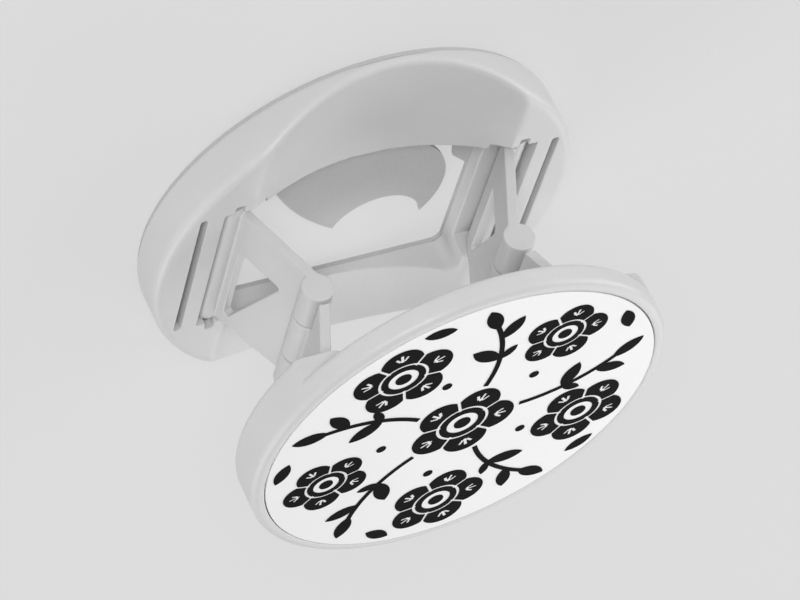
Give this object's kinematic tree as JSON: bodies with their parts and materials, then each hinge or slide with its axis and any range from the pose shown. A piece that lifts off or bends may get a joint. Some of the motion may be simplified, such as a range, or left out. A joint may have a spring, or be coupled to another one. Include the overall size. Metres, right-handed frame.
{
  "type": "folding phone grip",
  "caption": "Round folding grip for the back of a handset: a saddle-hollowed base disc and a printed cap disc joined by hinged arms, standing open.",
  "frame": {"origin": "centre of the bounding box's underside, which is the centre of the adhesive pad's lower face", "axes": "+Z from the pad through the base to the cap, +X from the left hinge to the right hinge, +Y along the hinge axes"},
  "size_m": [0.04, 0.04, 0.0251],
  "materials": {
    "shell": "satin moulded white",
    "arm": "satin moulded white",
    "pad": "soft grey foam",
    "pin": "drawn wire",
    "print": "smooth white film",
    "ink": "smooth black ink"
  },
  "bodies": {
    "base": {"base": "shell", "adhesive_pad": "pad", "base_pin_left": "pin", "base_pin_right": "pin"},
    "lower_arm_left": {"lower_arm_left": "arm", "knee_pin_left": "pin"},
    "lower_arm_right": {"lower_arm_right": "arm", "knee_pin_right": "pin"},
    "upper_arm_left": {"upper_arm_left": "arm"},
    "upper_arm_right": {"upper_arm_right": "arm"},
    "cap": {"cap": "shell", "cap_pin_left": "pin", "cap_pin_right": "pin", "print_disc": "print", "print_ink": "ink"}
  },
  "joints": [
    {"name": "fold", "type": "hinge", "parent": "base", "child": "lower_arm_left", "pos_m": [-0.0136, 0, 0.00325], "axis": [0, 1, 0], "range_deg": [0, 59]},
    {"name": "knee_left", "type": "hinge", "parent": "lower_arm_left", "child": "upper_arm_left", "pos_m": [-0.00963, 0, 0.01275], "axis": [0, 1, 0], "range_deg": [-118, 0]},
    {"name": "cap_left", "type": "hinge", "parent": "upper_arm_left", "child": "cap", "pos_m": [-0.0136, 0, 0.02225], "axis": [0, 1, 0], "range_deg": [0, 59]},
    {"name": "fold_right", "type": "hinge", "parent": "base", "child": "lower_arm_right", "pos_m": [0.0136, 0, 0.00325], "axis": [0, 1, 0], "range_deg": [-59, 0]},
    {"name": "knee_right", "type": "hinge", "parent": "lower_arm_right", "child": "upper_arm_right", "pos_m": [0.00963, 0, 0.01275], "axis": [0, 1, 0], "range_deg": [0, 118]}
  ],
  "couplings": [
    {"joint": "knee_left", "follows": "fold", "ratio": -2},
    {"joint": "cap_left", "follows": "fold", "ratio": 1},
    {"joint": "fold_right", "follows": "fold", "ratio": -1},
    {"joint": "knee_right", "follows": "fold", "ratio": 2}
  ]
}
